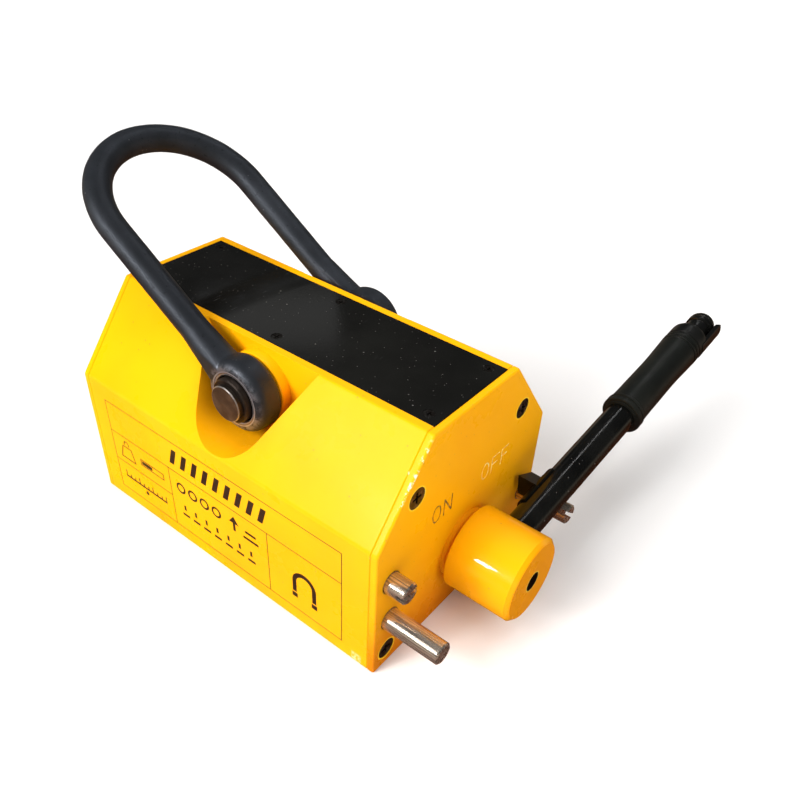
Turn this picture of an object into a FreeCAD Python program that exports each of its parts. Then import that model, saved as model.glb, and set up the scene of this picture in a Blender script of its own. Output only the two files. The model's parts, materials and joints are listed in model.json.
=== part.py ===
"""Lever-operated permanent lifting magnet, 1000 kg class.

Frame, in millimetres: the origin is the centre of the pole face, +X runs along the body
towards the hub, +Y towards the OFF side and +Z up.
"""
import FreeCAD, Part
import math
import os

V = FreeCAD.Vector
X_AXIS = V(1, 0, 0)
Y_AXIS = V(0, 1, 0)
Z_AXIS = V(0, 0, 1)
SIDES = (-1, 1)

# Body block
BODY_LENGTH = 258.0
BODY_WIDTH = 173.0
BODY_HEIGHT = 158.0
TOP_WIDTH = 84.0
SHOULDER_Z = 101.0
SHOULDER_R = 5.0
EDGE_R = 2.0
PLATE_T = 5.0
SEAM_CHAMFER = 0.6
PLATE_EDGE_R = 1.5
CORE_HALF = BODY_LENGTH / 2 - PLATE_T

# Magnetic circuit
ROTOR_Z = 47.0
ROTOR_BORE_R = 38.0
ROTOR_R = 37.4
ROTOR_HALF = 104.0
ROTOR_DISC_T = 8.0
ROTOR_MAGNET_T = 24.0
FILLER_DEPTH = 7.0
ROTOR_SCREW_YZ = ((14.0, 24.0), (-14.0, 24.0), (14.0, -24.0), (-14.0, -24.0))
ROTOR_SCREW_HEAD_R = 4.8
ROTOR_SCREW_R = 2.5
ROTOR_SCREW_LENGTH = 24.0
STATOR_GAP = 42.0
BOTTOM_GAP = 22.0
STATOR_MAGNET_Z = (92.0, 154.0)
STATOR_MAGNET_COUNT = 4
MAGNET_CLEARANCE = 0.2

# Top cover
COVER_WIDTH = 72.8
COVER_T = 3.0
COVER_FIT = 0.2
COVER_SCREW_X = (-115.0, 0.0, 115.0)
COVER_SCREW_Y = 29.0
COVER_SCREW_HEAD_R = 3.6
COVER_SCREW_R = 2.0
COVER_SCREW_LENGTH = 12.0

# End plate screws
PLATE_SCREW_YZ = ((54.0, 122.0), (74.5, 13.5))
PLATE_SCREW_HEAD_R = 7.0
PLATE_SCREW_R = 4.0
PLATE_SCREW_LENGTH = 26.0
SCREW_SUNK = 0.3
SCREW_FIT = 0.05

# Letters engraved in the front plate, as strokes in a unit box
LETTER_HEIGHT = 12.0
LETTER_WIDTH = 7.5
LETTER_PITCH = 11.0
STROKE_WIDTH = 1.2
ENGRAVE_DEPTH = 0.5
ON_CENTRE = (-27.5, 94.5)
OFF_CENTRE = (28.5, 94.0)
STROKES = {
    "N": [((0, 0), (0, 1)), ((0, 1), (1, 0)), ((1, 0), (1, 1))],
    "F": [((0, 0), (0, 1)), ((0, 1), (1, 1)), ((0, 0.52), (0.8, 0.52))],
}

# Shackle, its pins and the pockets that the eyes turn in
SHACKLE_Z = 131.0
SHACKLE_LEAN = 57.5
POCKET_R = 29.8
POCKET_FLOOR_Y = 41.5
POCKET_FLARE = 26.6
BOSS_R = 22.8
BOSS_Y = 48.0
BOSS_BEVEL = 0.6
SHACKLE_PIN_R = 14.5
SHACKLE_PIN_ROOT_Y = 24.0
SHACKLE_PIN_STEP_Y = 69.5
SHACKLE_PIN_END_Y = 73.0
SHACKLE_PIN_END_R = 11.8
EYE_Y = (49.0, 66.3)
EYE_R = 24.2
EYE_BORE_R = 15.1
EYE_ROUND = 6.6
EYE_BACK_ROUND = 3.2
EYE_BEVEL = 1.2
BOSS_GAP_RUN = 12.0
ROD_R = 9.1
NECK_START = 17.0
NECK_LENGTH = 34.0
NECK_FLARE = 3.2
BOW_R = 56.0
BOW_DISTANCE = 129.0

# Stop pins and latch pin in the front plate
STOP_PIN_YZ = (73.1, 40.4)
STOP_PIN_R = 7.0
STOP_PIN_TIP_X = 168.0
LATCH_PIN_YZ = (-73.3, 71.9)
LATCH_PIN_R = 6.9
LATCH_PIN_TIP_X = 142.7
PIN_ROOT_X = 96.0
PIN_SLOT_WIDTH = 3.0
PIN_SLOT_DEPTH = 5.0

# Shafts, bearings and hub
JOURNAL_R = 16.0
BEARING_CLEARANCE = 0.05
BEARING_FLANGE_R = 24.0
BEARING_FLANGE_X = 132.6
HUB_SEAT_R = 14.0
SHAFT_END_X = 162.0
HUB_X = (134.6, 181.2)
HUB_R = 28.5
HUB_FRONT_BEVEL = 2.7
HUB_BACK_BEVEL = 0.8
HUB_COUNTERBORE_R = 6.5
HUB_COUNTERBORE_X = 168.5
HUB_SCREW_R = 4.0
HUB_SCREW_HEAD_R = 6.2
HUB_SCREW_HEAD_T = 7.0
HUB_SCREW_SOCKET_R = 3.5
HUB_SCREW_SOCKET_DEPTH = 4.0
KEY_WIDTH = 6.0
KEY_X = (137.0, 160.0)

# Lever, measured outwards from the rotor axis
LEVER_X = 153.0
LEVER_OUTWARD = 1.8
LEVER_R = 11.0
LEVER_BORE_R = 7.5
LEVER_S = (15.5, 256.0)
LEVER_REST_GAP = 0.3
GRIP_S = (158.0, 256.0)
GRIP_R = 14.2
GRIP_BEAD_R = 15.3
GRIP_GROOVE_R = 14.3
GRIP_LIP_R = 12.6
GUARD_S = (256.2, 271.5)
GUARD_R = 15.1
GUARD_FLOOR_T = 2.0
GUARD_SPIGOT_LENGTH = 14.0
GUARD_SHOULDER = 5.6
GUARD_RIM_R = 10.6
TONGUE_R = (11.6, 15.6)
TONGUE_TIP_S = 293.2
TONGUE_HALF_ANGLE = 42.0
TONGUE_TURN = 20.0

# Latch
LATCH_TRAVEL = 12.0
LATCH_ROD_R = 4.0
LATCH_ROD_S = (58.0, 285.0)
LATCH_COLLAR_R = 6.8
LATCH_BLOCK_S = (59.0, 69.0, 76.0)
LATCH_NECK_S = (60.0, 74.0)
SLOT_END_GAP = 1.5
LATCH_REAR = 22.0
LATCH_FRONT = 6.0
CROSS_PIN_R = 1.5
CROSS_PIN_X = (-13.0, 3.0)
LATCH_TRAIL_BODY = 8.0
LATCH_TRAIL_NOSE = 5.2
LATCH_RAMP = (-9.8, 2.2)
SADDLE_S = (44.0, 78.0)
SADDLE_R = (11.2, 12.4)
SADDLE_HALF_ANGLE = 55.0
SLOT_HALF_WIDTH = 4.0
KNOB_R = 10.7
KNOB_STEM_R = 9.4
KNOB_S = (270.8, 284.0, 299.0)
KNOB_RIM_T = 3.6
SPRING_SEAT_S = (26.0, 31.0)
SPRING_R = 5.6
SPRING_WIRE_R = 0.6
SPRING_TURNS = 6
SPRING_POINTS = 16


def lever_rise():
    """Angle of the lever above the horizontal with its tube just over the OFF stop pin."""
    pin_y, pin_z = STOP_PIN_YZ
    drop = ROTOR_Z - pin_z
    reach = math.hypot(pin_y, drop)
    gap = LEVER_R + STOP_PIN_R + LEVER_REST_GAP
    return math.degrees(math.asin(gap / reach) - math.atan2(drop, pin_y))


def lever_frame():
    """Placement of the lever: local +Z outwards along it, local +X away from the end plate."""
    turn = FreeCAD.Rotation(X_AXIS, lever_rise())
    turn = turn.multiply(FreeCAD.Rotation(Z_AXIS, -LEVER_OUTWARD))
    turn = turn.multiply(FreeCAD.Rotation(X_AXIS, -90))
    return FreeCAD.Placement(V(LEVER_X, 0, ROTOR_Z), turn)


LEVER = lever_frame()


# Building blocks

def box(x, y, z):
    """Box between pairs of limits."""
    size = [limits[1] - limits[0] for limits in (x, y, z)]
    return Part.makeBox(*size, V(x[0], y[0], z[0]))


def cylinder_x(radius, x, y=0.0, z=ROTOR_Z):
    return Part.makeCylinder(radius, x[1] - x[0], V(x[0], y, z), X_AXIS)


def cylinder_z(radius, z):
    return Part.makeCylinder(radius, z[1] - z[0], V(0, 0, z[0]), Z_AXIS)


def turned(profile, origin=V(0, 0, 0), axis=Z_AXIS):
    """Solid turned about an axis from an outline of (distance along the axis, radius) points.

    A list of points in the outline is one smooth curve through them.
    """
    edges = []
    end = None
    for item in profile + profile[:1]:
        run = item if isinstance(item, list) else [item]
        points = [V(radius, 0, along) for along, radius in run]
        if end is not None and end.distanceToPoint(points[0]) > 1e-6:
            edges.append(Part.makeLine(end, points[0]))
        if len(points) > 1:
            curve = Part.BSplineCurve()
            curve.interpolate(points)
            edges.append(curve.toShape())
        end = points[-1]
    solid = Part.Face(Part.Wire(edges)).revolve(V(0, 0, 0), Z_AXIS, 360)
    solid.Placement = FreeCAD.Placement(origin, FreeCAD.Rotation(Z_AXIS, axis))
    return solid


def arc(s, radius, length, drop):
    """Quarter of an ellipse, which starts level at (s, radius) and falls by drop over length."""
    angles = [math.radians(a) for a in range(0, 91, 15)]
    return [(s + length * math.sin(a), radius - drop * (1 - math.cos(a))) for a in angles]


def prism(points, direction):
    """Solid swept from a closed polygon along a vector."""
    return Part.Face(Part.makePolygon(points + points[:1])).extrude(direction)


def edges_along(shape, axis, test):
    """Straight edges parallel to an axis whose centre passes a test."""
    found = []
    for edge in shape.Edges:
        if not isinstance(edge.Curve, Part.Line):
            continue
        along = abs(edge.tangentAt(edge.FirstParameter).dot(axis))
        if along > 0.999 and test(edge.CenterOfMass):
            found.append(edge)
    return found


def rim_edges(shape, x):
    """Every edge that lies in the plane of constant x."""
    return [e for e in shape.Edges if abs(e.BoundBox.XMin - x) < 1e-4 and abs(e.BoundBox.XMax - x) < 1e-4]


def mirrored(shape, normal):
    return shape.mirror(V(0, 0, 0), normal)


def on_lever(shape):
    """Moves a shape modelled in the lever's own frame into the row frame."""
    shape.Placement = LEVER.multiply(shape.Placement)
    return shape


def countersunk_screw(head_r, thread_r, length, origin, axis):
    """Flat-headed screw with a cross recess, sunk a little below the surface at the origin."""
    top = -SCREW_SUNK
    neck = top - (head_r - thread_r)
    screw = turned([(top, 0), (top, head_r), (neck, thread_r), (-length, thread_r), (-length, 0)])
    arm = head_r * 0.55
    slot = head_r * 0.12
    for x, y in ((arm, slot), (slot, arm)):
        screw = screw.cut(box((-x, x), (-y, y), (neck * 0.75, 1)))
    screw.Placement = FreeCAD.Placement(origin, FreeCAD.Rotation(Z_AXIS, axis))
    return screw


def countersunk_hole(head_r, thread_r, length, origin, axis):
    """Hole for a countersunk screw, carried on above the surface."""
    head_r += SCREW_FIT
    thread_r += SCREW_FIT
    neck = -SCREW_SUNK - (head_r - thread_r)
    outline = [(1, 0), (1, head_r), (-SCREW_SUNK, head_r), (neck, thread_r),
               (-length - 1, thread_r), (-length - 1, 0)]
    return turned(outline, origin, axis)


# Fixed body

def body_prism(x):
    """Full section of the body: upright sides, sloping shoulders and a flat top."""
    half = BODY_WIDTH / 2
    top = TOP_WIDTH / 2
    corners = [(-half, 0), (half, 0), (half, SHOULDER_Z), (top, BODY_HEIGHT),
               (-top, BODY_HEIGHT), (-half, SHOULDER_Z)]
    solid = prism([V(x[0], y, z) for y, z in corners], V(x[1] - x[0], 0, 0))
    shoulders = edges_along(solid, X_AXIS, lambda p: abs(p.z - SHOULDER_Z) < 1)
    solid = solid.makeFillet(SHOULDER_R, shoulders)
    others = edges_along(solid, X_AXIS, lambda p: p.z < 1 or p.z > BODY_HEIGHT - 1)
    return solid.makeFillet(EDGE_R, others)


def rotor_bore():
    return cylinder_x(ROTOR_BORE_R, (-CORE_HALF - 1, CORE_HALF + 1))


def shackle_pocket():
    """Space cut into the near flank for an eye: round below, flaring upwards."""
    flare = math.radians(POCKET_FLARE)
    top_z = BODY_HEIGHT + 12
    side_x = POCKET_R * math.cos(flare)
    side_z = SHACKLE_Z - POCKET_R * math.sin(flare)
    top_x = side_x + (top_z - side_z) * math.tan(flare)
    outline = [(-side_x, side_z), (side_x, side_z), (top_x, top_z), (-top_x, top_z)]
    outward = V(0, -BODY_WIDTH / 2, 0)
    fan = prism([V(x, -POCKET_FLOOR_Y, z) for x, z in outline], outward)
    round_part = Part.makeCylinder(POCKET_R, BODY_WIDTH / 2, V(0, -POCKET_FLOOR_Y, SHACKLE_Z), -Y_AXIS)
    return fan.fuse(round_part).removeSplitter()


def pole(side):
    """One steel pole: half of the core, with the shackle's pocket, boss and pin hole."""
    half = BODY_WIDTH / 2
    solid = body_prism((-CORE_HALF, CORE_HALF))
    solid = solid.common(box((-CORE_HALF, CORE_HALF), (-half - 1, -BOTTOM_GAP / 2), (-1, BODY_HEIGHT + 1)))
    inner = box((-CORE_HALF - 1, CORE_HALF + 1), (-STATOR_GAP / 2, 0), (ROTOR_Z, BODY_HEIGHT + 1))
    cover_seat = box((-CORE_HALF - 1, CORE_HALF + 1), (-COVER_WIDTH / 2 - COVER_FIT, 0),
                     (BODY_HEIGHT - COVER_T, BODY_HEIGHT + 1))
    for tool in (inner, rotor_bore(), cover_seat, shackle_pocket()):
        solid = solid.cut(tool)
    boss = turned([(POCKET_FLOOR_Y, 0), (POCKET_FLOOR_Y, BOSS_R), (BOSS_Y - BOSS_BEVEL, BOSS_R),
                   (BOSS_Y, BOSS_R - BOSS_BEVEL), (BOSS_Y, 0)], V(0, 0, SHACKLE_Z), -Y_AXIS)
    pin_hole = Part.makeCylinder(SHACKLE_PIN_R + 0.02, BOSS_Y - SHACKLE_PIN_ROOT_Y + 1,
                                 V(0, -SHACKLE_PIN_ROOT_Y, SHACKLE_Z), -Y_AXIS)
    solid = solid.fuse(boss).cut(pin_hole)
    if side > 0:
        solid = mirrored(solid, Y_AXIS)
    for tool in core_holes():
        solid = solid.cut(tool)
    seam = rim_edges(solid, -CORE_HALF) + rim_edges(solid, CORE_HALF)
    outer = [e for e in seam if on_outline(e.CenterOfMass)]
    return solid.makeChamfer(SEAM_CHAMFER, outer)


def on_outline(point):
    """True on the flanks and shoulders, where the core meets the end plates in a visible seam."""
    y = abs(point.y)
    slope = (BODY_WIDTH - TOP_WIDTH) / 2 / (BODY_HEIGHT - SHOULDER_Z)
    shoulder_y = BODY_WIDTH / 2 - (point.z - SHOULDER_Z) * slope
    on_flank = y > BODY_WIDTH / 2 - 0.1 and point.z < SHOULDER_Z
    on_shoulder = abs(y - shoulder_y) < 0.1 and SHOULDER_Z < point.z < BODY_HEIGHT
    return on_flank or on_shoulder


def core_holes():
    """Screw and pin holes that run on from the plates into the poles."""
    holes = cover_screw_holes() + plate_screw_holes(-1) + plate_screw_holes(1)
    for y, z, radius in plate_pins():
        holes.append(cylinder_x(radius + 0.02, (PIN_ROOT_X, BODY_LENGTH / 2 + 1), y, z))
    return holes


def cover_screw_places():
    return [V(x, side * COVER_SCREW_Y, BODY_HEIGHT) for x in COVER_SCREW_X for side in SIDES]


def cover_screw_holes():
    return [countersunk_hole(COVER_SCREW_HEAD_R, COVER_SCREW_R, COVER_SCREW_LENGTH, place, Z_AXIS)
            for place in cover_screw_places()]


def plate_screw_places(end):
    return [V(end * BODY_LENGTH / 2, side * y, z) for side in SIDES for y, z in PLATE_SCREW_YZ]


def plate_screw_holes(end):
    return [countersunk_hole(PLATE_SCREW_HEAD_R, PLATE_SCREW_R, PLATE_SCREW_LENGTH, place, X_AXIS * end)
            for place in plate_screw_places(end)]


def plate_pins():
    """Centre and radius of the three pins: ON stop, OFF stop and latch."""
    y, z = STOP_PIN_YZ
    return [(-y, z, STOP_PIN_R), (y, z, STOP_PIN_R), (*LATCH_PIN_YZ, LATCH_PIN_R)]


def plate_blank(end):
    """End plate with a rounded outer rim and a small chamfer along the seam."""
    inner = end * CORE_HALF
    outer = end * BODY_LENGTH / 2
    solid = body_prism(sorted((inner, outer)))
    solid = solid.makeFillet(PLATE_EDGE_R, rim_edges(solid, outer))
    return solid.makeChamfer(SEAM_CHAMFER, rim_edges(solid, inner))


def front_end_plate():
    solid = plate_blank(1)
    solid = solid.cut(cylinder_x(BEARING_FLANGE_R + 0.1, (CORE_HALF - 1, BODY_LENGTH / 2 + 1)))
    for y, z, radius in plate_pins():
        solid = solid.cut(cylinder_x(radius + 0.3, (CORE_HALF - 1, BODY_LENGTH / 2 + 1), y, z))
    for hole in plate_screw_holes(1):
        solid = solid.cut(hole)
    for mark in engraving():
        solid = solid.cut(mark)
    return solid


def rear_end_plate():
    solid = plate_blank(-1)
    for hole in plate_screw_holes(-1):
        solid = solid.cut(hole)
    return solid


# Engraved ON and OFF

def engraving():
    return word("ON", ON_CENTRE) + word("OFF", OFF_CENTRE)


def word(text, centre):
    start = centre[0] - (LETTER_PITCH * (len(text) - 1) + LETTER_WIDTH) / 2
    base = centre[1] - LETTER_HEIGHT / 2
    cuts = []
    for place, letter in enumerate(text):
        left = start + place * LETTER_PITCH
        if letter == "O":
            cuts.append(letter_o(left, base))
        for p, q in STROKES.get(letter, []):
            ends = [(left + u * LETTER_WIDTH, base + v * LETTER_HEIGHT) for u, v in (p, q)]
            cuts.append(stroke(*ends))
    return cuts


def letter_o(left, base):
    """Upright oval ring."""
    centre = V(BODY_LENGTH / 2 - ENGRAVE_DEPTH, left + LETTER_WIDTH / 2, base + LETTER_HEIGHT / 2)
    ovals = []
    for grow in (STROKE_WIDTH / 2, -STROKE_WIDTH / 2):
        top = centre + V(0, 0, LETTER_HEIGHT / 2 + grow)
        side = centre + V(0, LETTER_WIDTH / 2 + grow, 0)
        oval = Part.Ellipse(top, side, centre).toShape()
        ovals.append(Part.Face(Part.Wire(oval)).extrude(V(2, 0, 0)))
    return ovals[0].cut(ovals[1])


def stroke(p, q):
    """Straight engraved stroke with round ends, between two (y, z) points."""
    half = STROKE_WIDTH / 2
    x = (BODY_LENGTH / 2 - ENGRAVE_DEPTH, BODY_LENGTH / 2 + 1)
    run = V(0, q[0] - p[0], q[1] - p[1])
    across = run.cross(X_AXIS).normalize() * half
    start = V(x[0], *p)
    end = V(x[0], *q)
    bar = prism([start + across, end + across, end - across, start - across], V(x[1] - x[0], 0, 0))
    caps = [cylinder_x(half, x, *point) for point in (p, q)]
    return bar.multiFuse(caps)


def top_cover():
    """Flat cover in the recess between the poles' top margins."""
    half = COVER_WIDTH / 2
    solid = box((-CORE_HALF + COVER_FIT, CORE_HALF - COVER_FIT), (-half, half),
                (BODY_HEIGHT - COVER_T, BODY_HEIGHT))
    solid = solid.makeChamfer(0.3, [e for e in solid.Edges if e.BoundBox.ZMin > BODY_HEIGHT - 0.1])
    for hole in cover_screw_holes():
        solid = solid.cut(hole)
    return solid


def cover_screws():
    screws = [countersunk_screw(COVER_SCREW_HEAD_R, COVER_SCREW_R, COVER_SCREW_LENGTH, place, Z_AXIS)
              for place in cover_screw_places()]
    return Part.makeCompound(screws)


def plate_screws(end):
    screws = [countersunk_screw(PLATE_SCREW_HEAD_R, PLATE_SCREW_R, PLATE_SCREW_LENGTH, place, X_AXIS * end)
              for place in plate_screw_places(end)]
    return Part.makeCompound(screws)


def bottom_spacer():
    """Non-magnetic strip between the poles under the rotor, flush with the pole face."""
    half = BOTTOM_GAP / 2
    solid = box((-CORE_HALF, CORE_HALF), (-half, half), (0, ROTOR_Z))
    return solid.cut(rotor_bore())


def rotor_cover_spacer():
    """Non-magnetic strip that closes the bore over the rotor and carries the stator magnets."""
    half = STATOR_GAP / 2 - MAGNET_CLEARANCE
    solid = box((-CORE_HALF, CORE_HALF), (-half, half), (ROTOR_Z, STATOR_MAGNET_Z[0]))
    return solid.cut(rotor_bore())


def stator_magnets():
    half = STATOR_GAP / 2 - MAGNET_CLEARANCE
    pitch = 2 * CORE_HALF / STATOR_MAGNET_COUNT
    blocks = []
    for number in range(STATOR_MAGNET_COUNT):
        start = -CORE_HALF + number * pitch
        blocks.append(box((start + 0.5, start + pitch - 0.5), (-half, half), STATOR_MAGNET_Z))
    return Part.makeCompound(blocks)


def front_bearing():
    """Bronze bush that fills the bore's end and shows as a ring outside the plate."""
    inner_x = ROTOR_HALF + ROTOR_DISC_T + 0.5
    flange = BEARING_FLANGE_R
    bore = JOURNAL_R + BEARING_CLEARANCE
    outer = ROTOR_BORE_R - 0.02
    profile = [(inner_x, bore), (inner_x, outer), (CORE_HALF, outer), (CORE_HALF, flange),
               (BEARING_FLANGE_X - 0.8, flange), (BEARING_FLANGE_X, flange - 0.8), (BEARING_FLANGE_X, bore)]
    return turned(profile, V(0, 0, ROTOR_Z), X_AXIS)


def rear_bearing():
    inner_x = -ROTOR_HALF - ROTOR_DISC_T - 0.5
    bore = JOURNAL_R + BEARING_CLEARANCE
    outer = ROTOR_BORE_R - 0.02
    profile = [(inner_x, bore), (inner_x, outer), (-CORE_HALF, outer), (-CORE_HALF, bore)]
    return turned(profile, V(0, 0, ROTOR_Z), X_AXIS)


def shackle_pin(side):
    """Shouldered pin screwed into the pole, with a smaller round end."""
    profile = [(SHACKLE_PIN_ROOT_Y, 0), (SHACKLE_PIN_ROOT_Y, SHACKLE_PIN_R - 1),
               (SHACKLE_PIN_ROOT_Y + 1, SHACKLE_PIN_R), (SHACKLE_PIN_STEP_Y - 0.7, SHACKLE_PIN_R),
               (SHACKLE_PIN_STEP_Y, SHACKLE_PIN_R - 0.7), (SHACKLE_PIN_STEP_Y, SHACKLE_PIN_END_R),
               (SHACKLE_PIN_END_Y - 0.5, SHACKLE_PIN_END_R), (SHACKLE_PIN_END_Y, SHACKLE_PIN_END_R - 0.5),
               (SHACKLE_PIN_END_Y, 0)]
    return turned(profile, V(0, 0, SHACKLE_Z), Y_AXIS * side)


def plate_pin(place, tip_x, slot_turn=None):
    """Turned pin with a chamfered end; a slot across the end if a turn angle is given."""
    y, z, radius = place
    bevel = 0.8
    profile = [(PIN_ROOT_X, 0), (PIN_ROOT_X, radius), (tip_x - bevel, radius), (tip_x, radius - bevel),
               (tip_x, 0)]
    pin = turned(profile, V(0, y, z), X_AXIS)
    if slot_turn is None:
        return pin
    half = PIN_SLOT_WIDTH / 2
    slot = box((tip_x - PIN_SLOT_DEPTH, tip_x + 1), (-radius - 1, radius + 1), (-half, half))
    slot.rotate(V(0, 0, 0), X_AXIS, slot_turn)
    slot.translate(V(0, y, z))
    return pin.cut(slot)


# Shackle

def eye(side):
    """Forged eye with a flat outer face and full, rounded flanks."""
    solid = Part.makeCylinder(EYE_R, EYE_Y[1] - EYE_Y[0], V(0, EYE_Y[0], 0), Y_AXIS)
    for y, radius in ((EYE_Y[1], EYE_ROUND), (EYE_Y[0], EYE_BACK_ROUND)):
        rim = [e for e in solid.Edges
               if isinstance(e.Curve, Part.Circle) and abs(e.CenterOfMass.y - y) < 0.01]
        solid = solid.makeFillet(radius, rim)
    return solid if side > 0 else mirrored(solid, Y_AXIS)


def shackle():
    """Round bar bent to a U with an eye at each end, leaning on the edges of its pockets."""
    bow = Part.makeTorus(BOW_R, ROD_R, V(0, 0, BOW_DISTANCE), X_AXIS)
    reach = BOW_R + 2 * ROD_R
    solid = bow.common(box((-reach, reach), (-reach, reach), (BOW_DISTANCE, BOW_DISTANCE + reach)))
    for side in SIDES:
        leg = Part.makeCylinder(ROD_R, BOW_DISTANCE, V(0, side * BOW_R, 0), Z_AXIS)
        neck = Part.makeCone(ROD_R + NECK_FLARE, ROD_R, NECK_LENGTH, V(0, side * BOW_R, NECK_START), Z_AXIS)
        solid = solid.multiFuse([leg, neck.common(eye_slab(side)), eye(side)])
    for side in SIDES:
        solid = solid.cut(boss_gap(side)).cut(eye_bore(side))
    solid = solid.removeSplitter()
    solid.rotate(V(0, 0, 0), Y_AXIS, -SHACKLE_LEAN)
    solid.translate(V(0, 0, SHACKLE_Z))
    return solid


def eye_bore(side):
    """Pin hole with a bevelled outer rim."""
    bevel_r = EYE_BORE_R + EYE_BEVEL
    profile = [(BOSS_Y - 1, 0), (BOSS_Y - 1, EYE_BORE_R), (EYE_Y[1] - EYE_BEVEL, EYE_BORE_R),
               (EYE_Y[1], bevel_r), (EYE_Y[1] + 3, bevel_r), (EYE_Y[1] + 3, 0)]
    return turned(profile, V(0, 0, 0), Y_AXIS * side)


def boss_gap(side):
    """Room for the pole's boss, easing off along the leg's inner face."""
    depth = EYE_Y[0] - (BOW_R - ROD_R) + 1
    profile = [(EYE_Y[0], 0), (EYE_Y[0], EYE_R + 1), (EYE_Y[0] - depth, EYE_R + 1 + BOSS_GAP_RUN),
               (EYE_Y[0] - depth, 0)]
    return turned(profile, V(0, 0, 0), Y_AXIS * side)


def eye_slab(side):
    """Slab as thick as an eye, which keeps the neck flush with the eye's faces."""
    y = sorted((side * EYE_Y[0], side * EYE_Y[1]))
    return box((-30, 30), y, (0, 60))


# Rotor

def rotor_frame(shape):
    """Moves a shape whose local +Z is the lever's direction, seen along X, into the row frame."""
    shape.rotate(V(0, 0, 0), X_AXIS, lever_rise() - 90)
    shape.translate(V(0, 0, ROTOR_Z))
    return shape


def rotor_slice(z, y=(-50, 50)):
    """Slice of the round rotor between limits of its own z and y."""
    drum = cylinder_x(ROTOR_R, (-ROTOR_HALF, ROTOR_HALF), 0, 0)
    return rotor_frame(drum.common(box((-ROTOR_HALF, ROTOR_HALF), y, z)))


def rotor_pole(side):
    half = ROTOR_MAGNET_T / 2
    limits = sorted((side * half, side * 50))
    solid = rotor_slice(limits)
    for tool in rotor_screw_holes():
        solid = solid.cut(tool)
    return solid


def rotor_magnet():
    half = ROTOR_MAGNET_T / 2
    reach = ROTOR_R - FILLER_DEPTH
    return rotor_slice((-half, half), (-reach, reach))


def rotor_fillers():
    """Non-magnetic strips that close the drum at the magnet's edges."""
    half = ROTOR_MAGNET_T / 2
    reach = ROTOR_R - FILLER_DEPTH
    strips = [rotor_slice((-half, half), sorted((side * reach, side * 50))) for side in SIDES]
    return Part.makeCompound(strips)


def rotor_screw_places(end):
    x = end * (ROTOR_HALF + ROTOR_DISC_T)
    turn = FreeCAD.Rotation(X_AXIS, lever_rise() - 90)
    return [turn.multVec(V(x, y, z)) + V(0, 0, ROTOR_Z) for y, z in ROTOR_SCREW_YZ]


def rotor_screw_holes():
    return [countersunk_hole(ROTOR_SCREW_HEAD_R, ROTOR_SCREW_R, ROTOR_SCREW_LENGTH, place, X_AXIS * end)
            for end in SIDES for place in rotor_screw_places(end)]


def rotor_screws(end):
    screws = [countersunk_screw(ROTOR_SCREW_HEAD_R, ROTOR_SCREW_R, ROTOR_SCREW_LENGTH, place, X_AXIS * end)
              for place in rotor_screw_places(end)]
    return Part.makeCompound(screws)


def rotor_shaft(end):
    """End disc and journal; the front one carries on through the plate as the hub's seat."""
    disc_x = (ROTOR_HALF, ROTOR_HALF + ROTOR_DISC_T)
    profile = [(disc_x[0], 0), (disc_x[0], ROTOR_R), (disc_x[1], ROTOR_R), (disc_x[1], JOURNAL_R)]
    if end > 0:
        profile += [(HUB_X[0] - 0.2, JOURNAL_R), (HUB_X[0] - 0.2, HUB_SEAT_R), (SHAFT_END_X, HUB_SEAT_R)]
    else:
        profile += [(CORE_HALF - 0.5, JOURNAL_R)]
    profile += [(profile[-1][0], 0)]
    solid = turned(profile, V(0, 0, ROTOR_Z), X_AXIS * end)
    for hole in rotor_screw_holes():
        solid = solid.cut(hole)
    if end > 0:
        solid = solid.cut(cylinder_x(HUB_SCREW_R + 0.02, (SHAFT_END_X - 20, SHAFT_END_X + 1)))
        solid = solid.cut(key_block(0.02))
    return solid


# Hub and its fixings

def key_block(grow):
    """Key on the side of the shaft away from the lever's bore."""
    half = KEY_WIDTH / 2 + grow
    solid = box((KEY_X[0] - grow, KEY_X[1] + grow), (-half, half), (-HUB_SEAT_R - 3, -HUB_SEAT_R + 3))
    return rotor_frame(solid)


def hub():
    """Round boss with a bevelled front rim, a screw counterbore and the lever's radial hole."""
    x0, x1 = HUB_X
    back, front = HUB_BACK_BEVEL, HUB_FRONT_BEVEL
    profile = [(x0, 0), (x0, HUB_R - back), (x0 + back, HUB_R), (x1 - front, HUB_R), (x1, HUB_R - front),
               (x1, 0)]
    solid = turned(profile, V(0, 0, ROTOR_Z), X_AXIS)
    solid = solid.cut(cylinder_x(HUB_SEAT_R + 0.02, (HUB_X[0] - 1, SHAFT_END_X + 0.2)))
    solid = solid.cut(cylinder_x(HUB_SCREW_R + 0.3, (SHAFT_END_X, HUB_X[1])))
    solid = solid.cut(cylinder_x(HUB_COUNTERBORE_R, (HUB_COUNTERBORE_X, HUB_X[1] + 1)))
    solid = solid.cut(on_lever(cylinder_z(LEVER_R + 0.02, (LEVER_S[0] - 0.2, HUB_R + 5))))
    return solid.cut(key_block(0.02))


def hub_screw():
    """Socket-head screw that holds the hub on the shaft."""
    head_x = (HUB_COUNTERBORE_X, HUB_COUNTERBORE_X + HUB_SCREW_HEAD_T)
    solid = cylinder_x(HUB_SCREW_R, (SHAFT_END_X - 18, head_x[0] + 1))
    solid = solid.fuse(cylinder_x(HUB_SCREW_HEAD_R, head_x))
    socket = []
    for degrees in range(0, 360, 60):
        angle = math.radians(degrees)
        reach = V(0, math.cos(angle), math.sin(angle)) * HUB_SCREW_SOCKET_R
        socket.append(V(head_x[1] - HUB_SCREW_SOCKET_DEPTH, 0, ROTOR_Z) + reach)
    return solid.cut(prism(socket, V(HUB_SCREW_SOCKET_DEPTH + 1, 0, 0)))


# Lever and grip, modelled in the lever's own frame

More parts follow.
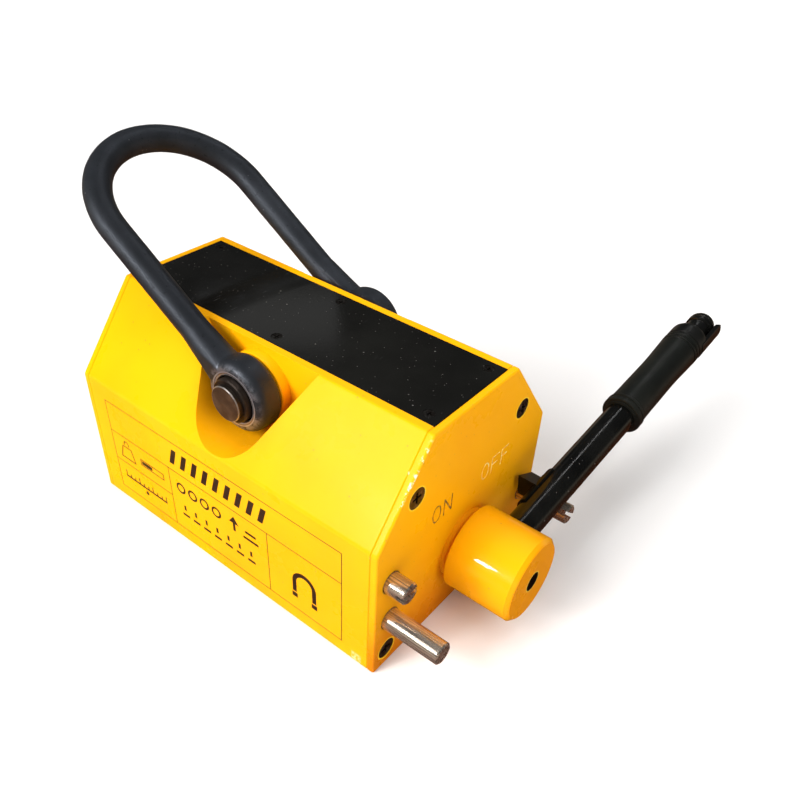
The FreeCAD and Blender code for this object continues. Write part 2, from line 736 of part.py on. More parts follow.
def lever_tube():
    """Steel tube screwed into the hub, slotted on the body side for the latch."""
    s0, s1 = LEVER_S
    profile = [(s0, LEVER_BORE_R), (s0, LEVER_R), (s1, LEVER_R), (s1, LEVER_BORE_R)]
    slot_s = (LATCH_NECK_S[0] - LATCH_TRAVEL - SLOT_END_GAP, LATCH_NECK_S[1] + SLOT_END_GAP)
    slot = box((-LEVER_R - 1, 0), (-SLOT_HALF_WIDTH, SLOT_HALF_WIDTH), slot_s)
    return on_lever(turned(profile).cut(slot))


def grip_sleeve():
    """Rubber sleeve with a lipped, beaded collar at the hub end and a beaded flare at the other."""
    s0, s1 = GRIP_S
    bore = LEVER_R + 0.02
    lip = [(s0, bore), (s0, GRIP_LIP_R), (s0 + 0.8, GRIP_LIP_R + 0.2)]
    collar = bead(s0 + 0.8, 4.4) + bead(s0 + 5.6, 2.6)
    waist = [[(s0 + 9.2, GRIP_GROOVE_R + 0.3), (s0 + 16.0, GRIP_R + 0.1), (s0 + 30.0, GRIP_R),
              (s1 - 32.0, GRIP_R), (s1 - 20.0, GRIP_R + 0.5), (s1 - 10.0, GRIP_BEAD_R - 0.2)]]
    flare = bead(s1 - 8.4, 2.8) + bead(s1 - 4.6, 3.0)
    return on_lever(turned(lip + collar + waist + flare + [(s1, GRIP_GROOVE_R), (s1, bore)]))


def bead(s, width):
    """Outline of a rounded bead of the grip, standing between two grooves."""
    rise = GRIP_BEAD_R - GRIP_GROOVE_R
    angles = [math.radians(a) for a in range(0, 181, 30)]
    crown = [(s + width / 2 * (1 - math.cos(a)), GRIP_GROOVE_R + rise * math.sin(a) ** 0.5) for a in angles]
    return [crown]


def end_guard():
    """Cup that the push knob slides in, with a spigot in the tube and a tongue beside the knob."""
    s0, s1 = GUARD_S
    bore = LATCH_ROD_R + 0.06
    spigot_r = LEVER_BORE_R - 0.05
    cup_r = KNOB_STEM_R + 0.2
    shoulder = s1 - GUARD_SHOULDER
    profile = [(s0 - GUARD_SPIGOT_LENGTH, bore), (s0 - GUARD_SPIGOT_LENGTH, spigot_r), (s0, spigot_r),
               (s0, GUARD_R - 0.6), (s0 + 0.6, GUARD_R),
               arc(shoulder, GUARD_R, GUARD_SHOULDER, GUARD_R - GUARD_RIM_R), (s1, cup_r),
               (s0 + GUARD_FLOOR_T, cup_r), (s0 + GUARD_FLOOR_T, bore)]
    inner, outer = TONGUE_R
    s = (s0 + 4, TONGUE_TIP_S)
    tongue = cylinder_z(outer, s).cut(cylinder_z(inner, s))
    wedge = sector(TONGUE_HALF_ANGLE, outer + 5, s)
    wedge.rotate(V(0, 0, 0), Z_AXIS, TONGUE_TURN)
    solid = turned(profile).fuse(tongue.common(wedge))
    tips = [e for e in solid.Edges if e.BoundBox.ZMin > TONGUE_TIP_S - 0.1]
    return on_lever(solid.makeFillet(0.8, tips))


def sector(half_angle, reach, s):
    """Wedge about local +X, half_angle either side."""
    half = math.radians(half_angle)
    corners = [V(0, 0, s[0]), V(reach * math.cos(half), -reach * math.sin(half), s[0]),
               V(reach * 1.2, 0, s[0]), V(reach * math.cos(half), reach * math.sin(half), s[0])]
    return prism(corners, V(0, 0, s[1] - s[0]))


def spring_seat():
    return on_lever(cylinder_z(LEVER_BORE_R - 0.05, SPRING_SEAT_S))


# Latch, modelled in the lever's own frame

def latch_rod():
    """Push rod with a collar for the spring and a cross hole for the block's pin."""
    low, high = LATCH_ROD_S
    solid = cylinder_z(LATCH_ROD_R, (low, high)).fuse(cylinder_z(LATCH_COLLAR_R, (low, low + 1.6)))
    return on_lever(solid.cut(cross_pin_shape(0.02)))


def cross_pin_shape(grow):
    s = sum(LATCH_NECK_S) / 2
    low, high = CROSS_PIN_X
    return Part.makeCylinder(CROSS_PIN_R + grow, high - low + grow, V(low - grow, 0, s), X_AXIS)


def latch_block():
    """Catch with a ramped leading face, on a curved saddle that rides over the tube's slot."""
    s0, s1, s2 = LATCH_BLOCK_S
    lead_low, lead_high = LATCH_RAMP
    outline = [(lead_low, s0), (LATCH_TRAIL_BODY, s0), (LATCH_TRAIL_BODY, s1), (LATCH_TRAIL_NOSE, s1),
               (LATCH_TRAIL_NOSE, s2), (lead_high, s2)]
    block = prism([V(-LATCH_REAR, y, s) for y, s in outline], V(LATCH_REAR - LATCH_FRONT, 0, 0))
    block = block.cut(cylinder_z(SADDLE_R[0], (0, 150)))
    saddle = cylinder_z(SADDLE_R[1], SADDLE_S).cut(cylinder_z(SADDLE_R[0], (0, 150)))
    half_turn = FreeCAD.Rotation(Z_AXIS, 180)
    wedge = sector(SADDLE_HALF_ANGLE, 30, SADDLE_S)
    wedge.Placement = FreeCAD.Placement(V(0, 0, 0), half_turn)
    neck = box((-SADDLE_R[1] + 0.4, 0), (-SLOT_HALF_WIDTH + 0.15, SLOT_HALF_WIDTH - 0.15), LATCH_NECK_S)
    neck = neck.cut(cylinder_z(LATCH_ROD_R + 0.02, (0, 150)))
    solid = block.multiFuse([saddle.common(wedge), neck])
    return on_lever(solid.cut(cross_pin_shape(0.02)).removeSplitter())


def latch_cross_pin():
    return on_lever(cross_pin_shape(0))


def push_knob():
    """Push knob: a stem that slides in the guard, a rim and a domed cap with a groove between."""
    s0, s1, s2 = KNOB_S
    cap = s1 + KNOB_RIM_T + 0.9
    rim = [(s1, KNOB_STEM_R), (s1 + 0.4, KNOB_R - 0.3), (s1 + 0.9, KNOB_R), (s1 + KNOB_RIM_T - 0.6, KNOB_R),
           (s1 + KNOB_RIM_T, KNOB_R - 0.8), (cap, KNOB_R - 0.8), (cap + 0.4, KNOB_R)]
    profile = [(s0, 0), (s0, KNOB_STEM_R - 0.6), (s0 + 0.6, KNOB_STEM_R)] + rim
    profile.append(arc(cap + 1.0, KNOB_R, s2 - cap - 1.0, KNOB_R))
    hole = cylinder_z(LATCH_ROD_R + 0.02, (s0 - 1, LATCH_ROD_S[1] + 0.2))
    return on_lever(turned(profile).cut(hole))


def latch_spring():
    """Compression spring between its seat in the tube and the rod's collar."""
    gap = SPRING_WIRE_R + 0.1
    low = SPRING_SEAT_S[1] + gap
    length = LATCH_ROD_S[0] - gap - low
    points = []
    for step in range(SPRING_TURNS * SPRING_POINTS + 1):
        turns = step / SPRING_POINTS
        angle = 2 * math.pi * turns
        rise = length * turns / SPRING_TURNS
        points.append(V(SPRING_R * math.cos(angle), SPRING_R * math.sin(angle), low + rise))
    helix = Part.BSplineCurve()
    helix.interpolate(points)
    wire = Part.Wire(Part.makeCircle(SPRING_WIRE_R, points[0], helix.tangent(0)[0]))
    return on_lever(Part.Wire(helix.toShape()).makePipeShell([wire], True, True))


PARTS = {
    "near_pole": lambda: pole(-1),
    "far_pole": lambda: pole(1),
    "front_end_plate": front_end_plate,
    "rear_end_plate": rear_end_plate,
    "top_cover": top_cover,
    "cover_screws": cover_screws,
    "front_plate_screws": lambda: plate_screws(1),
    "rear_plate_screws": lambda: plate_screws(-1),
    "bottom_spacer": bottom_spacer,
    "rotor_cover_spacer": rotor_cover_spacer,
    "stator_magnets": stator_magnets,
    "front_bearing": front_bearing,
    "rear_bearing": rear_bearing,
    "stop_pin_on": lambda: plate_pin(plate_pins()[0], STOP_PIN_TIP_X),
    "stop_pin_off": lambda: plate_pin(plate_pins()[1], STOP_PIN_TIP_X, -40),
    "latch_pin": lambda: plate_pin(plate_pins()[2], LATCH_PIN_TIP_X, 0),
    "shackle_pin_near": lambda: shackle_pin(-1),
    "shackle_pin_far": lambda: shackle_pin(1),
    "shackle": shackle,
    "rotor_pole_lever_side": lambda: rotor_pole(1),
    "rotor_pole_back_side": lambda: rotor_pole(-1),
    "rotor_magnet": rotor_magnet,
    "rotor_fillers": rotor_fillers,
    "rotor_front_shaft": lambda: rotor_shaft(1),
    "rotor_rear_shaft": lambda: rotor_shaft(-1),
    "rotor_front_screws": lambda: rotor_screws(1),
    "rotor_rear_screws": lambda: rotor_screws(-1),
    "hub": hub,
    "hub_key": lambda: key_block(0),
    "hub_screw": hub_screw,
    "lever_tube": lever_tube,
    "grip_sleeve": grip_sleeve,
    "end_guard": end_guard,
    "spring_seat": spring_seat,
    "latch_spring": latch_spring,
    "latch_rod": latch_rod,
    "latch_block": latch_block,
    "latch_cross_pin": latch_cross_pin,
    "push_knob": push_knob,
}


def main():
    os.makedirs("parts", exist_ok=True)
    for name, build in PARTS.items():
        shape = build()
        shape.exportStep(f"parts/{name}.step")


main()
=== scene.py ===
"""Looks of a lever-switched lifting magnet: materials, print, forged shackle, light and camera."""
import json
import math

import bmesh
import bpy
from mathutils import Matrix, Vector, noise


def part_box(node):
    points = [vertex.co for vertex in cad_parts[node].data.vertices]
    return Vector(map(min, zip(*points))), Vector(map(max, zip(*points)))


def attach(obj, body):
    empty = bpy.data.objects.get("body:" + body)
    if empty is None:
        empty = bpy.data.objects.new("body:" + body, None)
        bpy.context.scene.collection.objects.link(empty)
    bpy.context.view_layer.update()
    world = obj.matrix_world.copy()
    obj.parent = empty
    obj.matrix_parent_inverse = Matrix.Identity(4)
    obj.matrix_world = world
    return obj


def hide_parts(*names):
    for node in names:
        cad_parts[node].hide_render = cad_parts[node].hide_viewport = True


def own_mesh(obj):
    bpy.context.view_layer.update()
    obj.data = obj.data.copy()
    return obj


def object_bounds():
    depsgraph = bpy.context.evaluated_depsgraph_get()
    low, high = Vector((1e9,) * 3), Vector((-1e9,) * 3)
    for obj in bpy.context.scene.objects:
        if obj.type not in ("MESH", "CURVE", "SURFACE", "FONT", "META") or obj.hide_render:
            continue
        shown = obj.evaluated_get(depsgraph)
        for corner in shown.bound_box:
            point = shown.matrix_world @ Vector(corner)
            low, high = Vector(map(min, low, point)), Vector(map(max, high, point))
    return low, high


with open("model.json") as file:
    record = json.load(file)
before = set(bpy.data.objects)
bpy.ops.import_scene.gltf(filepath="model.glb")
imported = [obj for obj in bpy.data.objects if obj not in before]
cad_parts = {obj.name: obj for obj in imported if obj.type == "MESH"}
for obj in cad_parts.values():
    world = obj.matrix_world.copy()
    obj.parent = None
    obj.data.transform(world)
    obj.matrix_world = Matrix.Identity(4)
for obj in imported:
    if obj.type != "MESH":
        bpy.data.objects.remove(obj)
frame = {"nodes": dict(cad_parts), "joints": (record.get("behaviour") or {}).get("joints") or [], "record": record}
cad_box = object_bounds()


def joint(name):
    return next(j for j in frame["joints"] if j["name"] == name)


def pin_axis(node):
    """Place (y, z) of a pin that lies along X."""
    low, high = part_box(node)
    return (low.y + high.y) / 2, (low.z + high.z) / 2


# Camera: metres, degrees and millimetres
CAMERA_PLACE = (0.3035, -0.3092, 0.4127)
CAMERA_TURN = (52.541, -3.114, 37.802)
CAMERA_LENS = 35.506
CAMERA_SENSOR = 36.0
CAMERA_SHIFT = (-0.0154, 0.0215)

# Colours, linear: the enamel, what lies on it, and painted shade and highlights on it
YELLOW = (0.92, 0.41, 0.002)
YELLOW_DEEP = (0.88, 0.36, 0.002)
# painted shade on the hub's end face
YELLOW_HUB_END_SHADE = (0.86, 0.27, 0.002)
# primer, bright enough that the shoulder chips also act as painted glints
PRIMER_AND_GLINT = (0.95, 0.84, 0.55)
INK = (0.030, 0.011, 0.007)
INK_WORN = (0.10, 0.055, 0.012)
FOOT_DIRT = (0.45, 0.14, 0.01)
YELLOW_DUST = (0.40, 0.20, 0.04)
# painted shade in each pocket, below the shackle eye
POCKET_SHADE = (0.34, 0.13, 0.004)
# painted shade low on the end plate
PLATE_LOW_SHADE = (0.52, 0.11, 0.002)
LETTER_DARK = (0.24, 0.12, 0.04)
LETTER_BRIGHT = (1.0, 0.92, 0.42)
# painted highlight round the plate's countersunk screws
SCREW_RIM_HIGHLIGHT = (1.0, 0.62, 0.03)
PIN_RING = (0.25, 0.10, 0.01)
# painted highlight at the rim of the hub's screw hole
HUB_RIM_HIGHLIGHT = (1.0, 0.68, 0.10)
# painted shadow inside the hub's screw hole
HUB_HOLE_SHADOW = (0.012, 0.006, 0.003)

# Colours, linear: blacks, bare metal with painted highlights, and the stage
COVER_BLACKS = ((0.0050, 0.0048, 0.0040), (0.0085, 0.0082, 0.0070))
COVER_DUST = (0.22, 0.21, 0.19)
COVER_SCRATCH = (0.12, 0.12, 0.12)
ENAMEL_BLACKS = ((0.003, 0.003, 0.0026), (0.008, 0.008, 0.007))
ENAMEL_DUST = (0.2, 0.19, 0.18)
RUBBER_BLACKS = ((0.005, 0.0055, 0.0045), (0.011, 0.0115, 0.009))
FORGED_BLACK = (0.061, 0.067, 0.078)
FORGED_GRIT = (0.36, 0.38, 0.42)
# rubbed metal on each eye's crest, lightened as a painted sheen
FORGED_RUBBED_SHEEN = (0.30, 0.31, 0.35)
FORGED_FACE = (0.24, 0.20, 0.18)
# painted highlights at the edges of each eye's flat face
FORGED_RING_HIGHLIGHT = (0.66, 0.66, 0.70)
BROWNED = ((0.16, 0.115, 0.085), (0.27, 0.20, 0.15))
BROWNED_SIDE = (0.035, 0.03, 0.028)
# painted highlight on the rim of the shackle pin's end
BROWNED_RIM_HIGHLIGHT = (0.62, 0.58, 0.54)
PIN_STEEL = (0.78, 0.66, 0.54)
STEEL_STAIN = (0.20, 0.11, 0.06)
SCREW_BLACK = (0.022, 0.018, 0.015)
SCREW_WORN = (0.20, 0.15, 0.11)
COVER_SCREW_WORN = (0.045, 0.042, 0.038)
BRONZES = ((0.62, 0.44, 0.20), (0.42, 0.28, 0.12))
NICKEL = (0.45, 0.44, 0.42)
ALUMINIUM = (0.72, 0.72, 0.73)
ROTOR_STEEL = (0.50, 0.49, 0.48)
SPRING_STEEL = (0.42, 0.42, 0.42)
FLOOR = (0.90, 0.885, 0.87)
WALL_TONES = ((0.93, 0.93, 0.93), (0.96, 0.96, 0.96))

# What shiny surfaces see round the object, from straight down to straight up: (height, colour)
SURROUNDINGS = (
    (0.00, (0.08, 0.020, 0.006)),
    (0.38, (0.16, 0.050, 0.018)),
    (0.44, (0.42, 0.34, 0.24)),
    (0.50, (0.42, 0.38, 0.30)),
    (0.54, (0.06, 0.055, 0.05)),
    (0.62, (0.024, 0.025, 0.026)),
    (1.00, (0.040, 0.044, 0.052)),
)

# The body, measured from the frame
FLANK_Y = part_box("near_pole")[0].y
SEAM_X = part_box("front_end_plate")[0].x
FACE_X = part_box("front_end_plate")[1].x
HUB_END_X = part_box("hub")[1].x
HUB_AXIS = Vector(joint("lever_turn")["pos_m"])
SHACKLE_AXIS = Vector(joint("shackle_swing")["pos_m"])
PLATE_PINS = [pin_axis(node) for node in ("stop_pin_on", "stop_pin_off", "latch_pin")]

# Places on the body, in metres; a pair gives where a mark starts and where it has faded out
PLATE_SCREWS = [(side * y, z) for y, z in ((0.054, 0.122), (0.0745, 0.0135)) for side in (-1, 1)]
LETTERS_Z = 0.0942
LETTERS_HALF_WIDTH = 0.056
LETTERS_HALF_HEIGHT = 0.0085
EDGE_ROUNDING = 0.0008
# shoulder chips, partly real and partly painted glints along the plate's edge
SHOULDER_CHIPS_AND_GLINTS_Z = (0.113, 0.122)
SHOULDER_CHIPS_AND_GLINTS_Y = (-0.048, -0.042)
SEAM_NICKS_Y = (-0.045, -0.03)
RUB_X, RUB_Z = 0.1155, 0.0050
RUB_HALF_X, RUB_HALF_Z = 0.0028, 0.0030
FOOT_SCUFF_Z = (0.0004, 0.003)
FOOT_DIRT_Z = (0.0, 0.022)
# painted shade low on the end plate: where it is strongest and where it has faded out
PLATE_LOW_SHADE_Z = (0.004, 0.062)
# painted shade in the pockets: its reach round the eye's axis and across the pocket
POCKET_SHADE_R = (0.016, 0.044)
POCKET_SHADE_Y = (0.066, 0.084)
PIN_RING_R = (0.0072, 0.0082)
# radius of the painted highlight round each plate screw
SCREW_RIM_R = 0.0074
# where the hub's painted rim highlight and the painted shadow in its hole lie
HUB_RIM_R = 0.0070
HUB_HOLE_R = (0.00655, 0.0067)

# The shackle's eyes and pins: distances from their axis, and from the body's middle plane.
# Pairs fade as above, apart from the radii of the two painted highlight rings.
EYE_CREST_R = (0.0190, 0.0235)
EYE_CREST_Y = (0.0590, 0.0630)
EYE_FACE_R = (0.0172, 0.0180)
EYE_FACE_Y = (0.0635, 0.0650)
EYE_HIGHLIGHT_RINGS = (0.0163, 0.0178)
EYE_RINGS_Y = (0.0620, 0.0635)
SHACKLE_PIN_RIM_R = 0.01155
SHACKLE_PIN_END_Y = (0.0722, 0.0727)

# The forging's skin
FORGING_VOXEL = 0.0008
FORGING_SMOOTHING = 8
DENT_SCALES = (55, 150)
DENT_DEPTH = 0.00011
DENT_SINK = 1.2
EYE_FIT_R = 0.017
EYE_FIT_FADE = 0.012

# The panel printed on the near flank, in millimetres of (x, z)
PANEL_X = (-109.5, 103.9)
PANEL_Z = (11.5, 88.0)
PANEL_RULE_Z = 62.9
PANEL_SMALL_RULE_Z = 38.0
PANEL_DIVIDER_X = (-49.0, 43.0)
LINE_WIDTH = 0.6
THIN, BOLD, HEAVY = 0.9, 1.6, 3.4
INK_THICKNESS = 0.03

# The floor, and the wall's outline as (radius, height)
FLOOR_HALF = 4.0
FLOOR_DROP = 0.0002
FLOOR_GLOW_R = (1.3, 3.6)
WALL_PROFILE = ((3.6, -0.01), (3.8, 0.06), (3.9, 0.2), (3.95, 0.5), (3.95, 3.4))
WALL_SIDES = 96

# What the lamps are aimed at
BODY_MIDDLE = Vector((0, 0, 0.07))
HUB_SIDE = Vector((0.144, -0.023, 0.064))
SHOULDER = Vector((0.078, -0.063, 0.130))
COVER_LEFT = Vector((-0.03, 0.0, 0.158))


# Shader building blocks

class Surface:
    """A principled material with short calls for its texture nodes."""

    def __init__(self, name):
        self.material = bpy.data.materials.new(name)
        self.material.use_nodes = True
        self.tree = self.material.node_tree
        self.shader = self.tree.nodes["Principled BSDF"]
        self.place = self.add("ShaderNodeTexCoord").outputs["Object"]
        self.axes = self.add("ShaderNodeSeparateXYZ", Vector=self.place).outputs

    def add(self, kind, settings=None, **inputs):
        node = self.tree.nodes.new(kind)
        for key, value in (settings or {}).items():
            setattr(node, key, value)
        for key, value in inputs.items():
            self.put(node.inputs[key.replace("_", " ")], value)
        return node

    def put(self, socket, value):
        if isinstance(value, bpy.types.NodeSocket):
            self.tree.links.new(value, socket)
        elif isinstance(value, (tuple, list)) and socket.type == "RGBA":
            socket.default_value = (*value[:3], 1)
        else:
            socket.default_value = value

    def set(self, **inputs):
        for key, value in inputs.items():
            self.put(self.shader.inputs[key.replace("_", " ")], value)

    def noise(self, scale, detail=4.0, roughness=0.55, stretch=None):
        place = self.place
        if stretch:
            place = self.add("ShaderNodeVectorMath", {"operation": "MULTIPLY"}).outputs[0]
            self.put(place.node.inputs[0], self.place)
            self.put(place.node.inputs[1], stretch)
        node = self.add("ShaderNodeTexNoise", Vector=place, Scale=scale, Detail=detail, Roughness=roughness)
        return node.outputs["Fac"]

    def cells(self, scale):
        return self.add("ShaderNodeTexVoronoi", Vector=self.place, Scale=scale).outputs

    def math(self, operation, a, b=0.0):
        node = self.add("ShaderNodeMath", {"operation": operation})
        self.put(node.inputs[0], a)
        self.put(node.inputs[1], b)
        return node.outputs[0]

    def times(self, first, *others):
        for other in others:
            first = self.math("MULTIPLY", first, other)
        return first

    def most(self, first, *others):
        for other in others:
            first = self.math("MAXIMUM", first, other)
        return first

    def ramp(self, value, low, high, to_low=0.0, to_high=1.0):
        """Smooth step of a value between two limits."""
        node = self.add("ShaderNodeMapRange", {"interpolation_type": "SMOOTHSTEP"}, Value=value)
        limits = {"From Min": low, "From Max": high, "To Min": to_low, "To Max": to_high}
        for key, number in limits.items():
            node.inputs[key].default_value = number
        return node.outputs["Result"]

    def fall(self, value, low, high):
        """1 below the low limit, 0 above the high one."""
        return self.ramp(value, low, high, 1.0, 0.0)

    def band(self, value, centre, half, soft):
        """1 where a value lies within half of a centre, falling to 0 over soft."""
        away = self.math("ABSOLUTE", self.math("SUBTRACT", value, centre))
        return self.fall(away, half, half + soft)

    def mix(self, factor, a, b):
        node = self.add("ShaderNodeMix", {"data_type": "RGBA"})
        self.put(node.inputs[0], factor)
        self.put(node.inputs[6], a)
        self.put(node.inputs[7], b)
        return node.outputs[2]

    def over(self, colour, paint, mask, strength):
        """Paint laid over a colour where the mask is 1."""
        return self.mix(self.times(mask, strength), colour, paint)

    def blend(self, factor, a, b):
        """Mix of two numbers."""
        node = self.add("ShaderNodeMix", {"data_type": "FLOAT"})
        self.put(node.inputs[0], factor)
        self.put(node.inputs[2], a)
        self.put(node.inputs[3], b)
        return node.outputs[0]

    def bump(self, height, distance, strength=1.0, below=None):
        node = self.add("ShaderNodeBump", Height=height, Distance=distance, Strength=strength)
        if below is not None:
            self.put(node.inputs["Normal"], below)
        self.put(self.shader.inputs["Normal"], node.outputs["Normal"])
        return node.outputs["Normal"]

    def from_axis(self, along, centre):
        """Distance from an axis parallel to X, Y or Z through a point of the other two."""
        others = [axis for axis in "XYZ" if axis != along]
        squares = []
        for axis, middle in zip(others, centre):
            away = self.math("SUBTRACT", self.axes[axis], middle)
            squares.append(self.math("MULTIPLY", away, away))
        return self.math("SQRT", self.math("ADD", *squares))

    def from_eye(self):
        """Distance from the axis that the shackle swings on."""
        return self.from_axis("Y", (SHACKLE_AXIS.x, SHACKLE_AXIS.z))

    def from_middle_plane(self):
        return self.math("ABSOLUTE", self.axes["Y"])

    def specks(self, scale, share, size):
        """Sparse round specks, such as dust or paint grains, in a share of the cells."""
        cell = self.cells(scale)
        dot = self.fall(cell["Distance"], size * 0.5, size)
        lottery = self.add("ShaderNodeSeparateXYZ", Vector=cell["Color"]).outputs["X"]
        return self.times(dot, self.math("LESS_THAN", lottery, share))


def shade(colour, amount):
    return tuple(c * amount for c in colour)


# Yellow enamel

def safety_yellow(name, details, coat=0.09, coat_roughness=0.2, peel=0.35):
    """Glossy enamel over primer, with orange peel, uneven depth, dust, chips that partly serve as painted glints,
    and a part's own details.
    """
    s = Surface(name)
    colour = s.mix(s.ramp(s.noise(9.0, 3.0), 0.35, 0.7), YELLOW, YELLOW_DEEP)
    colour = s.over(colour, YELLOW_DEEP, s.ramp(s.noise(900.0, 2.0), 0.58, 0.75), 0.12)
    colour = s.over(colour, YELLOW_DEEP, s.ramp(paint_runs(s), 0.55, 0.8), 0.25)
    dirt = s.times(s.fall(s.axes["Z"], *FOOT_DIRT_Z), s.ramp(s.noise(35.0, 5.0), 0.4, 0.75))
    colour = s.over(colour, FOOT_DIRT, dirt, 0.3)
    for detail in details:
        colour = detail(s, colour)
    colour = s.over(colour, YELLOW_DUST, s.specks(420.0, 0.02, 0.3), 0.5)
    bare = bare_spots_and_glints(s)
    roughness = s.blend(s.ramp(s.noise(28.0, 4.0, 0.6), 0.3, 0.75), 0.24, 0.4)
    s.set(Base_Color=s.mix(bare, colour, PRIMER_AND_GLINT), Roughness=s.blend(bare, roughness, 0.7),
          Specular_IOR_Level=0.08, Coat_Weight=coat, Coat_Roughness=coat_roughness)
    skin = s.bump(s.noise(330.0, 2.0), 0.00012, peel)
    s.bump(s.times(bare, -1.0), 0.0001, 0.8, skin)
    return s.material


def paint_runs(s):
    """Broad clouds, drawn out downwards."""
    return s.noise(16.0, 4.0, 0.6, (1.0, 1.0, 0.25))


def bare_spots_and_glints(s):
    """Where primer shows: chips and nicks at the plate's edge, a rub low on the flank, a scuffed foot. The chips
    on the shoulder are partly real and partly painted glints along the edge.
    """
    x, y, z = s.axes["X"], s.axes["Y"], s.axes["Z"]
    behind_face = s.fall(x, FACE_X - 0.00012, FACE_X - 0.00006)
    rounding = s.times(s.band(x, FACE_X - EDGE_ROUNDING, 0.0007, EDGE_ROUNDING), behind_face)
    shoulder = s.times(s.fall(y, *SHOULDER_CHIPS_AND_GLINTS_Y), s.ramp(z, *SHOULDER_CHIPS_AND_GLINTS_Z))
    # chips on the shoulder's rounding: partly real, partly painted glints
    chips = s.times(rounding, shoulder, s.ramp(s.noise(260.0, 5.0, 0.7), 0.53, 0.58))
    seam = s.times(s.band(x, SEAM_X, 0.0003, 0.0005), s.fall(y, *SEAM_NICKS_Y))
    nicks = s.times(seam, s.ramp(s.noise(180.0, 4.0, 0.7), 0.62, 0.68))
    rub = s.times(s.band(x, RUB_X, RUB_HALF_X, 0.0015), s.band(z, RUB_Z, RUB_HALF_Z, 0.0015))
    rub = s.times(rub, s.fall(y, FLANK_Y + 0.0003, FLANK_Y + 0.0007))
    rub = s.times(rub, s.ramp(s.noise(420.0, 5.0, 0.7), 0.46, 0.54))
    foot = s.times(s.fall(z, *FOOT_SCUFF_Z), s.ramp(s.noise(60.0, 6.0, 0.7), 0.62, 0.7))
    return s.most(chips, nicks, s.times(rub, 0.4), foot)


def shaded_pocket(s, colour):
    """Painted shade below each shackle eye, on the floor of its pocket."""
    near_eye = s.ramp(s.from_eye(), *POCKET_SHADE_R, 0.5, 0.0)
    in_pocket = s.fall(s.from_middle_plane(), *POCKET_SHADE_Y)
    low_half = s.fall(s.axes["Z"], SHACKLE_AXIS.z - 0.002, SHACKLE_AXIS.z + 0.010)
    return s.mix(s.times(near_eye, in_pocket, low_half), colour, POCKET_SHADE)


def shaded_plate_foot(s, colour):
    """Painted shade that deepens towards the plate's lower edge, below the hub."""
    low_down = s.ramp(s.axes["Z"], *PLATE_LOW_SHADE_Z, 0.75, 0.0)
    uneven = s.ramp(paint_runs(s), 0.2, 0.6, 0.8, 1.0)
    return s.mix(s.times(low_down, uneven), colour, PLATE_LOW_SHADE)


def engraved(s, colour):
    """Paint left in the floor of the engraved letters: dark on the ON side, bright on the OFF side."""
    y, z = s.axes["Y"], s.axes["Z"]
    below = s.fall(s.axes["X"], FACE_X - 0.00030, FACE_X - 0.00008)
    across = s.band(y, 0.0, LETTERS_HALF_WIDTH, 0.001)
    upright = s.band(z, LETTERS_Z, LETTERS_HALF_HEIGHT, 0.001)
    fill = s.mix(s.ramp(y, -0.002, 0.002), LETTER_DARK, LETTER_BRIGHT)
    broken = s.ramp(s.noise(300.0, 3.0), 0.35, 0.6, 0.35, 1.0)
    return s.mix(s.times(below, across, upright, broken), colour, fill)


def screw_highlights_and_pin_rings(s, colour):
    """Painted highlights round the countersunk screws, and darker, oily rings round the pins."""
    for place in PLATE_SCREWS:
        # painted highlight round each countersunk screw
        rim = s.band(s.from_axis("X", place), SCREW_RIM_R, 0.0003, 0.0003)
        colour = s.over(colour, SCREW_RIM_HIGHLIGHT, rim, 0.8)
    for place in PLATE_PINS:
        ring = s.fall(s.from_axis("X", place), *PIN_RING_R)
        colour = s.over(colour, PIN_RING, ring, 0.8)
    return colour


def hub_end(s, colour):
    """Painted shade on the hub's end face, painted shadow in its screw hole and a painted highlight at the hole's
    rim.
    """
    radius = s.from_axis("X", (HUB_AXIS.y, HUB_AXIS.z))
    on_end = s.ramp(s.axes["X"], HUB_END_X - 0.0012, HUB_END_X - 0.0002)
    # painted shade on the end face
    colour = s.over(colour, YELLOW_HUB_END_SHADE, on_end, 0.6)
    # painted highlight at the rim of the screw hole
    rim = s.times(s.band(radius, HUB_RIM_R, 0.00025, 0.0003), on_end)
    colour = s.over(colour, HUB_RIM_HIGHLIGHT, rim, 0.8)
    # painted shadow inside the screw hole
    return s.mix(s.fall(radius, *HUB_HOLE_R), colour, HUB_HOLE_SHADOW)


# Blacks

def cover_black():
    """Satin black sheet with dust, fine scratches and a slightly greasy sheen."""
    s = Surface("cover_black")
    cloud = s.noise(14.0, 4.0)
    dust = s.most(s.specks(260.0, 0.05, 0.2), s.specks(700.0, 0.05, 0.28))
    scratch = s.noise(120.0, 3.0, 0.5, (14.0, 0.6, 1.0))
    lines = s.times(s.ramp(scratch, 0.68, 0.72), s.ramp(s.noise(20.0), 0.5, 0.62))
    colour = s.mix(s.ramp(cloud, 0.35, 0.7), *COVER_BLACKS)
    colour = s.over(colour, COVER_DUST, dust, 0.35)
    colour = s.over(colour, COVER_SCRATCH, lines, 0.35)
    roughness = s.blend(s.ramp(cloud, 0.3, 0.75), 0.08, 0.15)
    s.set(Base_Color=colour, Roughness=roughness, Specular_IOR_Level=0.5)
    film = s.bump(s.noise(500.0, 3.0), 0.00005, 0.3)
    s.bump(dust, 0.00015, 0.6, film)
    return s.material


